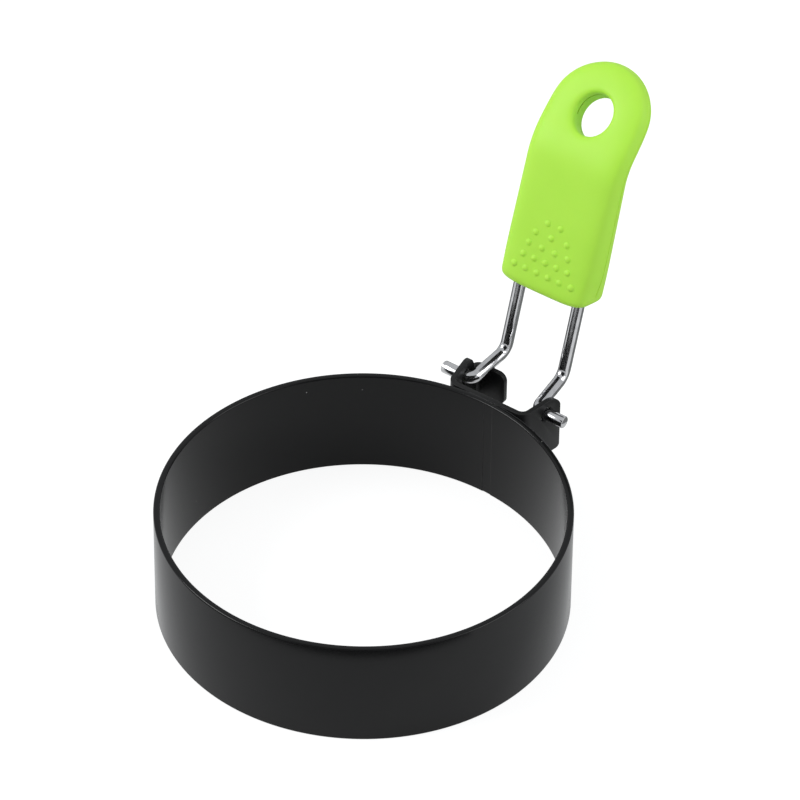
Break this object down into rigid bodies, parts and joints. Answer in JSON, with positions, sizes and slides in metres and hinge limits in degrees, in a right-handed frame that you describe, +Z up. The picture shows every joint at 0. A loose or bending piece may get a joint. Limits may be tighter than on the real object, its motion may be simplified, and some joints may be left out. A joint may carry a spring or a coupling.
{
  "type": "egg ring",
  "caption": "Round coated steel egg ring with a folding wire handle that ends in a lime green silicone grip with a hanging hole.",
  "frame": {"origin": "on the ring's axis, at the middle of the plane that the ring stands on", "axes": "+Z up along the ring's axis; +Y from the ring's axis towards the handle; the hinge axis is parallel to X"},
  "size_m": [0.0888, 0.1389, 0.0864],
  "materials": {
    "coated_steel": "black non-stick coat, satin",
    "wire_steel": "polished",
    "silicone": "smooth silicone, soft satin"
  },
  "bodies": {
    "ring": {"ring_band": "coated_steel", "seam_weld": "coated_steel", "hinge_bracket": "coated_steel", "spot_welds": "coated_steel"},
    "handle": {"wire_handle": "wire_steel", "grip": "silicone"}
  },
  "joints": [
    {"name": "handle_fold", "type": "hinge", "parent": "ring", "child": "handle", "pos_m": [0, 0.0516, 0.0217], "axis": [1, 0, 0], "range_deg": [0, 130]}
  ]
}
